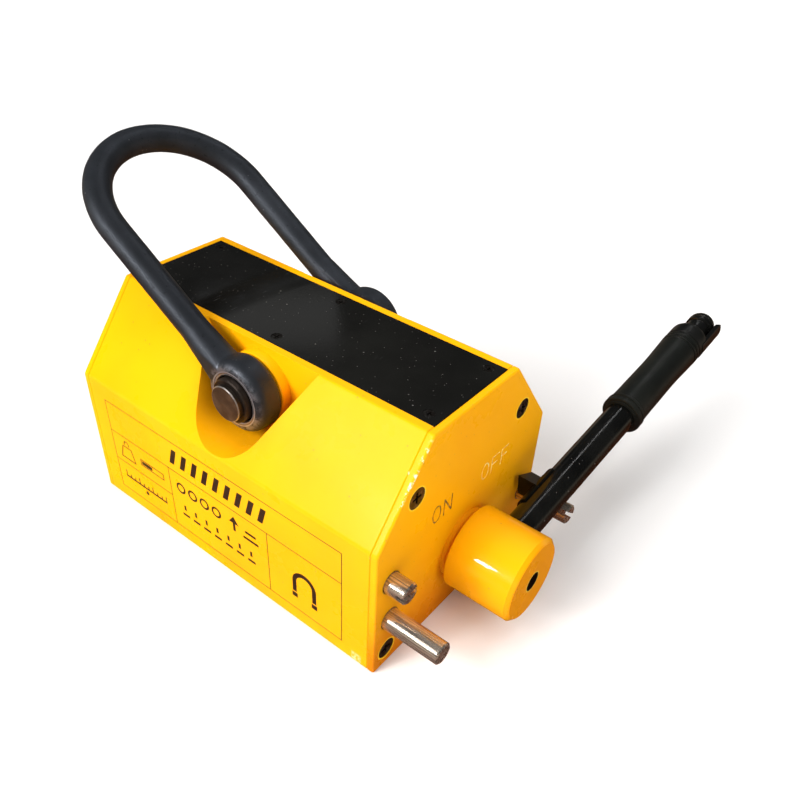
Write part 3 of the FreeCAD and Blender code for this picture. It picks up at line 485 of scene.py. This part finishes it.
def forged_black():
    """Blackened forging: satin bluish sheen, mottled scale, specks and bare metal round the eyes, with a painted
    sheen on each eye's rubbed crest and two painted highlight rings on its face.
    """
    s = Surface("forged_black")
    y, radius = s.from_middle_plane(), s.from_eye()
    scale = s.noise(26.0, 5.0, 0.6)
    pits = s.noise(420.0, 4.0, 0.6)
    colour = s.mix(s.ramp(scale, 0.35, 0.7), FORGED_BLACK, shade(FORGED_BLACK, 1.5))
    colour = s.mix(s.ramp(pits, 0.6, 0.75), colour, shade(FORGED_BLACK, 0.6))
    grit = s.times(s.specks(520.0, 0.05, 0.3), s.ramp(s.noise(45.0, 2.0), 0.45, 0.6))
    colour = s.over(colour, FORGED_GRIT, grit, 0.5)
    # rubbed metal on the eye's crest: partly real wear, partly a painted sheen
    crest = s.times(s.fall(radius, *EYE_CREST_R), s.ramp(y, *EYE_CREST_Y))
    rubbed_sheen = s.times(crest, s.ramp(s.noise(140.0, 5.0, 0.7), 0.40, 0.58))
    colour = s.mix(rubbed_sheen, colour, FORGED_RUBBED_SHEEN)
    face = s.times(s.fall(radius, *EYE_FACE_R), s.ramp(y, *EYE_FACE_Y))
    colour = s.mix(face, colour, FORGED_FACE)
    # two painted highlight rings at the edges of the eye's flat face
    for ring in EYE_HIGHLIGHT_RINGS:
        rim = s.times(s.band(radius, ring, 0.0002, 0.0004), s.ramp(y, *EYE_RINGS_Y))
        colour = s.over(colour, FORGED_RING_HIGHLIGHT, rim, 0.8)
    roughness = s.blend(s.ramp(scale, 0.3, 0.75), 0.48, 0.60)
    s.set(Base_Color=colour, Metallic=0.85, Roughness=s.blend(s.most(rubbed_sheen, face), roughness, 0.30))
    skin = s.bump(s.noise(160.0, 5.0, 0.6), 0.00025, 0.35)
    s.bump(s.math("SUBTRACT", grit, s.ramp(pits, 0.56, 0.7)), 0.00012, 0.4, skin)
    return s.material


def gloss_black(name, roughness, peel_scale, shine=0.5):
    """Black enamel or moulded gloss with faint smears and handling dust."""
    s = Surface(name)
    smear = s.noise(18.0, 4.0, 0.6)
    colour = s.mix(s.ramp(smear, 0.35, 0.7), *ENAMEL_BLACKS)
    colour = s.over(colour, ENAMEL_DUST, s.specks(480.0, 0.05, 0.28), 0.4)
    smeared = s.blend(s.ramp(smear, 0.3, 0.75), roughness, roughness + 0.14)
    s.set(Base_Color=colour, Roughness=smeared, Specular_IOR_Level=shine)
    s.bump(s.noise(peel_scale, 2.0), 0.00001, 0.04)
    return s.material


def moulded_rubber():
    """Matt rubber with a pebbled skin and greyish handling marks."""
    s = Surface("moulded_rubber")
    marks = s.noise(22.0, 5.0, 0.6)
    colour = s.mix(s.ramp(marks, 0.45, 0.75), *RUBBER_BLACKS)
    roughness = s.blend(s.ramp(marks, 0.3, 0.75), 0.40, 0.56)
    s.set(Base_Color=colour, Roughness=roughness, Specular_IOR_Level=0.5)
    pebble = s.bump(s.cells(1300.0)["Distance"], 0.00006, 0.35)
    s.bump(s.noise(60.0, 3.0), 0.0004, 0.12, pebble)
    return s.material


def dark_screw(name="dark_screw", worn=SCREW_WORN):
    """Blackened screw, worn in patches."""
    s = Surface(name)
    wear = s.noise(300.0, 4.0, 0.65)
    colour = s.mix(s.ramp(wear, 0.42, 0.66), SCREW_BLACK, worn)
    s.set(Base_Color=colour, Metallic=0.8, Roughness=s.blend(s.ramp(wear, 0.3, 0.7), 0.32, 0.5))
    s.bump(wear, 0.00010, 0.5)
    return s.material


# Bare metals

def turned_steel(name, colour, roughness):
    """Ground pin with fine and coarse lines along X, and stains."""
    s = Surface(name)
    along = (0.03, 1.0, 1.0)
    lines = s.noise(1100.0, 2.0, 0.5, along)
    coarse = s.noise(330.0, 2.0, 0.5, along)
    tone = s.mix(s.ramp(lines, 0.42, 0.6), shade(colour, 0.5), colour)
    stain = s.ramp(s.noise(70.0, 5.0, 0.6), 0.5, 0.8, 0.0, 0.3)
    tone = s.mix(stain, tone, STEEL_STAIN)
    streaked = s.blend(s.ramp(coarse, 0.3, 0.7), roughness, roughness + 0.14)
    s.set(Base_Color=tone, Metallic=0.87, Roughness=streaked)
    s.bump(lines, 0.00003, 0.3)
    return s.material


def dull_pin():
    """Browned pin of the shackle: dark sides, a mottled end face and a painted highlight on the rim of its end."""
    s = Surface("dull_pin")
    y = s.from_middle_plane()
    cloud = s.noise(120.0, 5.0, 0.6)
    colour = s.mix(s.ramp(cloud, 0.35, 0.7), *BROWNED)
    colour = s.over(colour, BROWNED_SIDE, s.fall(y, *SHACKLE_PIN_END_Y), 0.75)
    # painted highlight on the rim of the pin's end
    rim = s.times(s.band(s.from_eye(), SHACKLE_PIN_RIM_R, 0.0002, 0.0003), s.ramp(y, *SHACKLE_PIN_END_Y))
    colour = s.over(colour, BROWNED_RIM_HIGHLIGHT, rim, 0.8)
    s.set(Base_Color=colour, Metallic=0.9, Roughness=s.blend(s.ramp(cloud, 0.3, 0.7), 0.38, 0.5))
    s.bump(s.noise(500.0, 4.0, 0.6), 0.00006, 0.35)
    return s.material


def mill_marks(s):
    """Fine marks round and across, close together along Y and Z."""
    return s.noise(60.0, 3.0, 0.5, (1.0, 18.0, 18.0))


def painted_bronze():
    """Bronze bush whose flange outside the plate is coated with the body's enamel."""
    s = Surface("painted_bronze")
    marks = mill_marks(s)
    bronze = s.mix(s.ramp(marks, 0.35, 0.7), *BRONZES)
    outside = s.ramp(s.axes["X"], FACE_X - 0.001, FACE_X - 0.0005)
    roughness = s.blend(s.ramp(marks, 0.3, 0.7), 0.26, 0.4)
    s.set(Base_Color=s.mix(outside, bronze, YELLOW_DEEP), Metallic=s.blend(outside, 1.0, 0.0),
          Roughness=roughness, Specular_IOR_Level=0.2)
    s.bump(marks, 0.00004, 0.3)
    return s.material


def plain_metal(name, colour, roughness):
    """Machined or plated metal of the inner parts, with mill marks and stains."""
    s = Surface(name)
    marks = mill_marks(s)
    marked = s.blend(s.ramp(marks, 0.3, 0.7), roughness, roughness + 0.15)
    tone = s.mix(s.ramp(marks, 0.35, 0.7), colour, shade(colour, 0.7))
    s.set(Base_Color=tone, Metallic=1.0, Roughness=marked)
    s.bump(marks, 0.00005, 0.3)
    return s.material


# Print, floor and wall

def printed_ink():
    """Thin dark screen print, slightly broken."""
    s = Surface("printed_ink")
    broken = s.noise(700.0, 4.0, 0.6)
    s.set(Base_Color=s.mix(s.ramp(broken, 0.52, 0.75), INK, INK_WORN),
          Roughness=s.blend(s.ramp(broken, 0.4, 0.7), 0.42, 0.6), Specular_IOR_Level=0.4)
    s.bump(broken, 0.00003, 0.3)
    return s.material


def pale_floor():
    """Matt pale floor that brightens far out, where the lamps no longer reach."""
    s = Surface("pale_floor")
    far_out = s.ramp(s.from_axis("Z", (0.0, 0.0)), *FLOOR_GLOW_R, 0.0, 0.8)
    s.set(Base_Color=s.mix(s.noise(3.0), FLOOR, shade(FLOOR, 0.97)), Roughness=0.75,
          Emission_Color=(1.0, 1.0, 1.0), Emission_Strength=far_out)
    return s.material


def pale_wall():
    """A wall that shines evenly and reflects nothing."""
    s = Surface("pale_wall")
    tone = s.mix(s.ramp(s.noise(0.6, 2.0), 0.3, 0.7), *WALL_TONES)
    s.set(Base_Color=(0.0, 0.0, 0.0), Specular_IOR_Level=0.0, Emission_Color=tone, Emission_Strength=1.0)
    return s.material


def slot_materials():
    """One material for each slot of the record."""
    return {
        "body_paint": safety_yellow("safety_yellow", (shaded_pocket,)),
        "cover_black": cover_black(),
        "shackle_steel": forged_black(),
        "shackle_pin_steel": dull_pin(),
        "pin_steel": turned_steel("bright_pin", PIN_STEEL, 0.17),
        "screw_dark": dark_screw(),
        "lever_black": gloss_black("lever_enamel", 0.14, 260.0),
        "grip_rubber": moulded_rubber(),
        "guard_plastic": gloss_black("guard_plastic", 0.34, 700.0),
        "knob_plastic": gloss_black("knob_plastic", 0.26, 700.0),
        "latch_black": gloss_black("latch_enamel", 0.30, 320.0, 0.15),
        "magnet": plain_metal("nickel_magnet", NICKEL, 0.3),
        "spacer_aluminium": plain_metal("milled_aluminium", ALUMINIUM, 0.32),
        "bearing_bronze": painted_bronze(),
        "rotor_steel": plain_metal("rotor_steel", ROTOR_STEEL, 0.34),
        "spring_steel": plain_metal("spring_steel", SPRING_STEEL, 0.3),
    }


def dress_frame():
    """Gives every CAD node the material of its slot, and three of them their own."""
    materials = slot_materials()
    slots = {part["node"]: part["material_slot"] for part in frame["record"]["subparts"]}
    special = {
        "front_end_plate": safety_yellow("plate_yellow", (shaded_plate_foot, engraved, screw_highlights_and_pin_rings)),
        "hub": safety_yellow("hub_yellow", (hub_end,), coat=0.6, coat_roughness=0.04, peel=0.12),
        "cover_screws": dark_screw("cover_screw", COVER_SCREW_WORN),
    }
    for name, obj in frame["nodes"].items():
        for slot in obj.material_slots:
            slot.material = special.get(name, materials[slots[name]])
    return materials


# Printed panel on the near flank

class Print:
    """Flat ink shapes on the near flank, drawn in millimetres of (x, z)."""

    def __init__(self):
        self.mesh = bmesh.new()

    def shape(self, points):
        """Convex outline as a thin raised plate."""
        rings = [[self.mesh.verts.new((x / 1000, y, z / 1000)) for x, z in points]
                 for y in (FLANK_Y, FLANK_Y - INK_THICKNESS / 1000)]
        self.mesh.faces.new(rings[1])
        for i, j in zip(range(len(points)), (*range(1, len(points)), 0)):
            self.mesh.faces.new((rings[0][i], rings[0][j], rings[1][j], rings[1][i]))

    def bar(self, x0, z0, x1, z1):
        self.shape([(x0, z0), (x1, z0), (x1, z1), (x0, z1)])

    def line(self, start, end, width):
        run = Vector(end) - Vector(start)
        side = Vector((-run.y, run.x)).normalized() * width / 2
        ends = (Vector(start) - side, Vector(end) - side, Vector(end) + side, Vector(start) + side)
        self.shape([tuple(p) for p in ends])

    def path(self, points, width, closed=False):
        """Chain of lines with round joints."""
        runs = zip(points, points[1:] + points[:1] if closed else points[1:])
        for start, end in runs:
            self.line(start, end, width)
        for x, z in points:
            self.disc(x, z, width / 2)

    def disc(self, x, z, radius, sides=16):
        turns = [2 * math.pi * i / sides for i in range(sides)]
        self.shape([(x + radius * math.cos(t), z + radius * math.sin(t)) for t in turns])

    def arc(self, x, z, radius, width, start, end, steps=20):
        """Ring sector between two angles in degrees."""
        turns = [math.radians(start + (end - start) * i / steps) for i in range(steps + 1)]
        inner, outer = radius - width / 2, radius + width / 2
        for t, u in zip(turns, turns[1:]):
            corners = ((inner, t), (outer, t), (outer, u), (inner, u))
            self.shape([(x + r * math.cos(a), z + r * math.sin(a)) for r, a in corners])

    def done(self, name):
        return finish_mesh(name, self.mesh)


def finish_mesh(name, mesh):
    bmesh.ops.recalc_face_normals(mesh, faces=mesh.faces)
    data = bpy.data.meshes.new(name)
    mesh.to_mesh(data)
    mesh.free()
    obj = bpy.data.objects.new(name, data)
    bpy.context.scene.collection.objects.link(obj)
    return obj


def panel_lines():
    """Outer frame and inner rules of the printed panel."""
    ink = Print()
    half = LINE_WIDTH / 2
    left, right = PANEL_X
    low, high = PANEL_Z
    for z in (low, high, PANEL_RULE_Z):
        ink.bar(left - half, z - half, right + half, z + half)
    ink.bar(left, PANEL_SMALL_RULE_Z - half, PANEL_DIVIDER_X[0], PANEL_SMALL_RULE_Z + half)
    for x in PANEL_X:
        ink.bar(x - half, low, x + half, high)
    for x in PANEL_DIVIDER_X:
        ink.bar(x - half, low, x + half, PANEL_RULE_Z)
    return ink.done("print_frame")


def slanted_stripes(ink, count=9, pitch=10.2, low=69, high=82):
    for step in range(count):
        x = -46 + step * pitch
        ink.shape([(x, low), (x + 4.6, low), (x + 8.6, high), (x + 4.0, high)])


def weight_and_gauge(ink):
    """A weight with its ring, and a half-filled gauge."""
    ink.path([(-102, 43.5), (-87, 43.5), (-90, 54), (-99, 54)], THIN, closed=True)
    ink.arc(-94.5, 56.8, 2.4, THIN, -30, 210)
    ink.path([(-80, 47), (-56, 47), (-56, 52), (-80, 52)], 0.8, closed=True)
    ink.bar(-79, 48, -68, 51)


def graduated_scale(ink, count=10, pitch=4.85, foot=25.8):
    """A ruler whose every third tick is long, with a dot under it."""
    ink.bar(-102, 24.2, -57, foot)
    for step in range(count):
        x = -101.2 + step * pitch
        ink.bar(x - 0.5, foot, x + 0.5, 30.5 if step % 3 == 0 else 28.2)
    ink.disc(-79.5, 20.6, 1.7)


def load_marks(ink):
    """Four rings, an upward arrow and two short bars over a row of dashes and ticks."""
    for step in range(4):
        ink.arc(-38 + step * 11.5, 50.5, 3.7, BOLD, 0, 360, 28)
    ink.bar(12, 44.8, 14.2, 52)
    ink.shape([(8.6, 51.5), (17.6, 51.5), (13.1, 57.5)])
    ink.path([(22, 45.5), (34, 45.5)], 2.0)
    ink.path([(24, 51), (32, 51)], 2.0)
    for step in range(7):
        x = -40 + step * 10.6
        ink.bar(x, 25.5, x + 6.8, 27.6)
        ink.bar(x + 2.4, 31, x + 4.4, 35.5)


def horseshoe(ink, x=73.5, z=37.5, radius=8.2, foot=27.5):
    """A magnet with its pole tips set off below the legs."""
    ink.arc(x, z, radius, HEAVY, 0, 180, 24)
    for leg in (x - radius, x + radius):
        ink.bar(leg - HEAVY / 2, foot, leg + HEAVY / 2, z)
        ink.bar(leg - 2.3, foot - 5, leg + 2.3, foot - 1)


def panel_marks():
    """Plain pictograms in the panel's cells."""
    ink = Print()
    for draw in (slanted_stripes, weight_and_gauge, graduated_scale, load_marks, horseshoe):
        draw(ink)
    return ink.done("print_marks")


# Pieces made from their CAD shapes

def copy_of(node, name, material):
    """A new object with the shape of a CAD node, which it will stand for."""
    data = frame["nodes"][node].data.copy()
    data.materials.clear()
    data.materials.append(material)
    obj = bpy.data.objects.new(name, data)
    bpy.context.scene.collection.objects.link(obj)
    return obj


def coiled_spring(material):
    """The latch spring, as a copy of its CAD shape that rides on the rotor."""
    obj = copy_of("latch_spring", "coiled_spring", material)
    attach(obj, "rotor")
    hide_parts("latch_spring")
    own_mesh(obj)


def forged_shackle(material):
    """The CAD shackle with its joins blended as in a forging, and a slightly uneven surface."""
    obj = copy_of("shackle", "forged_shackle", material)
    remesh = obj.modifiers.new("remesh", "REMESH")
    remesh.mode = "VOXEL"
    remesh.voxel_size = FORGING_VOXEL
    smooth = obj.modifiers.new("smooth", "LAPLACIANSMOOTH")
    smooth.lambda_factor = 1.0
    smooth.iterations = FORGING_SMOOTHING
    smooth.use_volume_preserve = True
    bpy.context.view_layer.update()
    obj.data = bpy.data.meshes.new_from_object(obj.evaluated_get(bpy.context.evaluated_depsgraph_get()))
    obj.modifiers.clear()
    dent(obj.data)
    obj.data.polygons.foreach_set("use_smooth", [True] * len(obj.data.polygons))
    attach(obj, "shackle")
    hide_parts("shackle")


def dent(mesh):
    """Shallow hollows all over the shackle, fading out where its eyes fit the pins."""
    coarse, fine = DENT_SCALES
    normals = [v.normal.copy() for v in mesh.vertices]
    for vertex, normal in zip(mesh.vertices, normals):
        from_pin = math.hypot(vertex.co.x - SHACKLE_AXIS.x, vertex.co.z - SHACKLE_AXIS.z)
        free = min(max((from_pin - EYE_FIT_R) / EYE_FIT_FADE, 0.0), 1.0)
        height = noise.noise(vertex.co * coarse) + 0.5 * noise.noise(vertex.co * fine)
        vertex.co += normal * free * (height - DENT_SINK) * DENT_DEPTH


# Stage

def ring_points(radius):
    turns = [2 * math.pi * i / WALL_SIDES for i in range(WALL_SIDES)]
    return [(radius * math.cos(t), radius * math.sin(t)) for t in turns]


def stage():
    mesh = bmesh.new()
    corners = [mesh.verts.new((x * FLOOR_HALF, y * FLOOR_HALF, 0))
               for x, y in ((-1, -1), (1, -1), (1, 1), (-1, 1))]
    mesh.faces.new(corners)
    floor = finish_mesh("floor", mesh)
    floor.location.z = cad_box[0][2] - FLOOR_DROP
    floor.data.materials.append(pale_floor())
    floor.visible_glossy = False


def backdrop():
    """Pale wall all round, far behind the floor's middle, that throws neither light nor shadow."""
    mesh = bmesh.new()
    rings = [[mesh.verts.new((x, y, height)) for x, y in ring_points(radius)]
             for radius, height in WALL_PROFILE]
    for low, high in zip(rings, rings[1:]):
        for i in range(WALL_SIDES):
            j = (i + 1) % WALL_SIDES
            mesh.faces.new((low[i], low[j], high[j], high[i]))
    wall = finish_mesh("backdrop", mesh)
    wall.data.materials.append(pale_wall())
    wall.visible_glossy = False
    wall.visible_diffuse = False
    wall.visible_shadow = False


# Light and camera

def towards(azimuth, elevation):
    """Direction with its azimuth counted from +X towards +Y, in degrees."""
    az, el = math.radians(azimuth), math.radians(elevation)
    return Vector((math.cos(el) * math.cos(az), math.cos(el) * math.sin(az), math.sin(el)))


def lamp(name, light, aim, glossy):
    """Places a light that shines along a direction."""
    obj = bpy.data.objects.new(name, light)
    obj.rotation_euler = aim.to_track_quat("-Z", "Y").to_euler()
    obj.visible_glossy = glossy
    bpy.context.scene.collection.objects.link(obj)
    return obj


def soft_box(name, target, offset, size, power, glossy=True):
    """Rectangular lamp at an offset from the place that it shines on."""
    light = bpy.data.lights.new(name, "AREA")
    light.shape = "RECTANGLE"
    light.size, light.size_y = size
    light.energy = power
    obj = lamp(name, light, -offset, glossy)
    obj.location = target + offset


def sun(name, direction, strength, angle):
    light = bpy.data.lights.new(name, "SUN")
    light.energy = strength
    light.angle = math.radians(angle)
    lamp(name, light, -direction, glossy=False)


def studio():
    """A broad key, two fills that reflections don't show, and small lamps for the lines of light."""
    sun("key", towards(-112, 36), strength=3.3, angle=32)
    soft_box("window", HUB_SIDE, towards(-112, 24.5) * 1.6, size=(0.2, 0.2), power=7.0)
    soft_box("glow", SHOULDER, towards(-124.8, 25.4) * 1.6, size=(0.36, 0.3), power=2.0)
    soft_box("overhead", BODY_MIDDLE, Vector((0, 0.8, 2.93)), size=(4.6, 4.6), power=82.0, glossy=False)
    soft_box("side_fill", BODY_MIDDLE, towards(-20, 35) * 2.2, size=(1.6, 1.2), power=23.0, glossy=False)
    soft_box("far_panel", COVER_LEFT, towards(138, 31) * 1.6, size=(0.36, 0.15), power=0.045)
    soft_box("strip", BODY_MIDDLE, towards(93, 59) * 1.8, size=(0.03, 1.2), power=1.8)
    bpy.context.scene.world = surroundings()
    bpy.context.scene.view_settings.view_transform = "Standard"


def surroundings():
    """Bands of dim colour by height, which shiny surfaces reflect."""
    world = bpy.data.worlds.new("surroundings")
    world.use_nodes = True
    nodes, links = world.node_tree.nodes, world.node_tree.links
    place = nodes.new("ShaderNodeTexCoord")
    height = nodes.new("ShaderNodeSeparateXYZ")
    share = nodes.new("ShaderNodeMapRange")
    share.inputs["From Min"].default_value = -1.0
    bands = nodes.new("ShaderNodeValToRGB")
    stops = bands.color_ramp.elements
    stops[0].color = (*SURROUNDINGS[0][1], 1)
    stops[1].color = (*SURROUNDINGS[-1][1], 1)
    for at, colour in SURROUNDINGS[1:-1]:
        stops.new(at).color = (*colour, 1)
    links.new(place.outputs["Generated"], height.inputs[0])
    links.new(height.outputs["Z"], share.inputs["Value"])
    links.new(share.outputs["Result"], bands.inputs["Fac"])
    links.new(bands.outputs["Color"], nodes["Background"].inputs["Color"])
    return world


def camera():
    data = bpy.data.cameras.new("camera")
    data.lens = CAMERA_LENS
    data.sensor_width = CAMERA_SENSOR
    data.shift_x, data.shift_y = CAMERA_SHIFT
    obj = bpy.data.objects.new("camera", data)
    obj.location = CAMERA_PLACE
    obj.rotation_euler = [math.radians(a) for a in CAMERA_TURN]
    bpy.context.scene.collection.objects.link(obj)
    bpy.context.scene.camera = obj


materials = dress_frame()
ink = printed_ink()
for print_piece in (panel_lines(), panel_marks()):
    print_piece.data.materials.append(ink)
    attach(print_piece, "body")
forged_shackle(materials["shackle_steel"])
coiled_spring(materials["spring_steel"])
stage()
backdrop()
studio()
camera()
